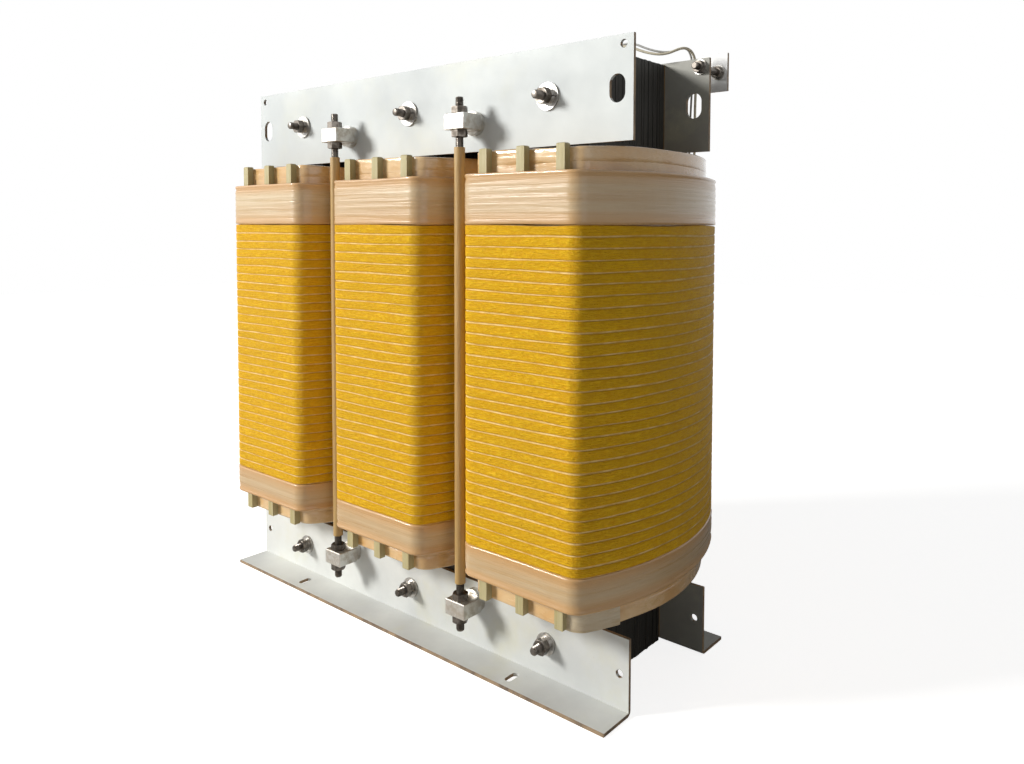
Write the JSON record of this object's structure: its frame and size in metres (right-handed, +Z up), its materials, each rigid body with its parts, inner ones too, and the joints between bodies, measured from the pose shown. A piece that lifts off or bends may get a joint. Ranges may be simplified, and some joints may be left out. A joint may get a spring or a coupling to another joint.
{
  "type": "dry type transformer",
  "caption": "Three-phase dry type transformer: laminated core in plated steel clamps, resin-bonded yellow windings on three limbs, insulated tie rods, angle feet with slots and lifting slots.",
  "frame": {"origin": "on the floor, under the middle of the centre limb, in the plane of the feet and of the core's underside", "axes": "+Z up, +X along the yokes to the winding nearest the sensor leads, -Y towards the front clamps"},
  "size_m": [0.7092, 0.2952, 0.747],
  "materials": {
    "core_steel": "black lacquered laminations, fine vertical lines",
    "zinc_sheet": "zinc plated steel sheet, pale blue white with yellowish stains and brown cut edges",
    "bright_hardware": "zinc plated washers, dulled",
    "dark_hardware": "dark oiled steel studs and nuts with bright worn edges",
    "lug_steel": "machined steel block, plated, brownish edges",
    "rod_tube": "beige glass fibre tube",
    "pressboard": "varnished insulating board",
    "lv_resin": "glossy cream and peach resin over glass tape",
    "hv_tape": "varnished yellow fibre tape over each turn, thin pale lines between turns",
    "collar_resin": "cream tape bands under resin, streaked along the wrap",
    "duct_stick": "pale greenish cream pultruded stick",
    "gland_plastic": "black moulded grommet",
    "lead_cream": "cream sleeved lead",
    "lead_grey": "light grey lead"
  },
  "bodies": {
    "root": {"bottom_clamp_front": "zinc_sheet", "bottom_clamp_rear": "zinc_sheet", "bottom_flat_washers": "bright_hardware", "bottom_strip_front": "pressboard", "bottom_strip_rear": "pressboard", "bottom_yoke_studs": "dark_hardware", "bracket_nuts": "dark_hardware", "bracket_studs": "dark_hardware", "bracket_washers": "bright_hardware", "core_bottom_yoke": "core_steel", "core_limb_centre": "core_steel", "core_limb_left": "core_steel", "core_limb_right": "core_steel", "core_top_yoke": "core_steel", "duct_sticks_centre": "duct_stick", "duct_sticks_left": "duct_stick", "duct_sticks_right": "duct_stick", "former_centre": "pressboard", "former_left": "pressboard", "former_right": "pressboard", "hv_collar_bottom_centre": "collar_resin", "hv_collar_bottom_left": "collar_resin", "hv_collar_bottom_right": "collar_resin", "hv_collar_top_centre": "collar_resin", "hv_collar_top_left": "collar_resin", "hv_collar_top_right": "collar_resin", "hv_winding_centre": "hv_tape", "hv_winding_left": "hv_tape", "hv_winding_right": "hv_tape", "lower_rod_lugs": "lug_steel", "lv_winding_centre": "lv_resin", "lv_winding_left": "lv_resin", "lv_winding_right": "lv_resin", "rear_bracket_left": "zinc_sheet", "rear_bracket_right": "zinc_sheet", "sensor_gland": "gland_plastic", "sensor_lead_cream": "lead_cream", "sensor_lead_grey": "lead_grey", "spring_washers": "bright_hardware", "stud_sleeves": "pressboard", "tie_rod_front_left": "dark_hardware", "tie_rod_front_right": "dark_hardware", "tie_rod_nuts": "dark_hardware", "tie_rod_rear_left": "dark_hardware", "tie_rod_rear_right": "dark_hardware", "tie_rod_tube_front_left": "rod_tube", "tie_rod_tube_front_right": "rod_tube", "tie_rod_tube_rear_left": "rod_tube", "tie_rod_tube_rear_right": "rod_tube", "top_clamp_front": "zinc_sheet", "top_clamp_rear": "zinc_sheet", "top_flat_washers": "bright_hardware", "top_strip_front": "pressboard", "top_strip_rear": "pressboard", "top_yoke_studs": "dark_hardware", "upper_rod_lugs": "lug_steel", "yoke_nuts": "dark_hardware"}
  },
  "joints": []
}
